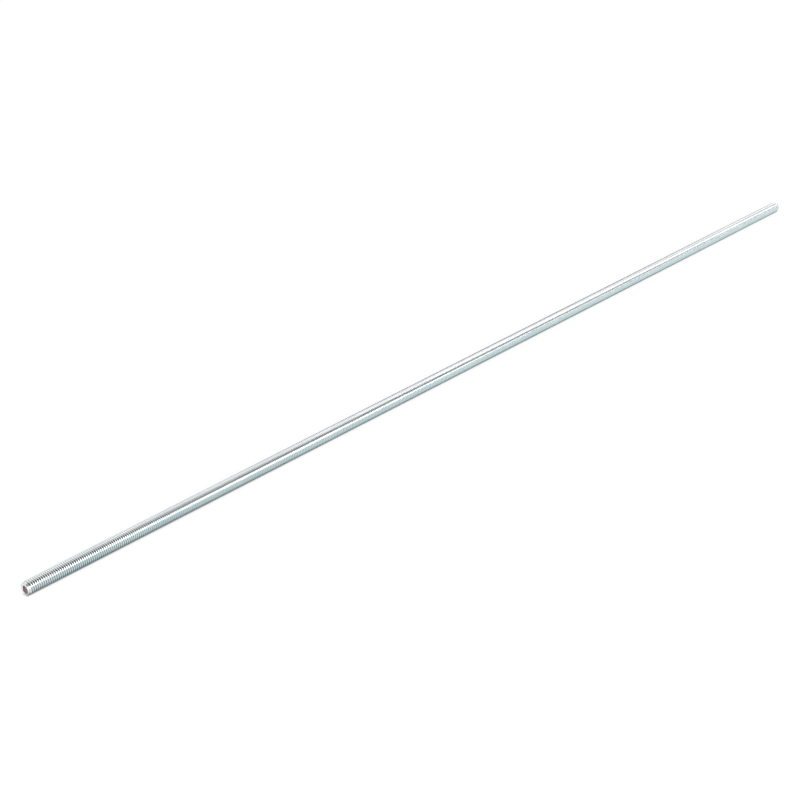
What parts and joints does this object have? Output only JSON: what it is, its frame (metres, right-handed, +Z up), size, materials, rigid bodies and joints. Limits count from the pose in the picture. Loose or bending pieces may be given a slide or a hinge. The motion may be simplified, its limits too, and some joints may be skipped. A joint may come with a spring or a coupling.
{
  "type": "threaded rod",
  "caption": "Straight steel rod with a coarse right-hand screw thread over its whole length and a short taper at each cut end.",
  "frame": {"origin": "on the rod's axis, halfway between its two end faces", "axes": "+X along the rod towards its far end, +Z up as the rod lies, +Y across it"},
  "size_m": [0.9144, 0.0094, 0.0096],
  "materials": {
    "zinc_plated_steel": "bright clear zinc plate over rolled low-carbon steel, with duller cut ends"
  },
  "bodies": {
    "root": {"threaded_rod": "zinc_plated_steel"}
  },
  "joints": []
}
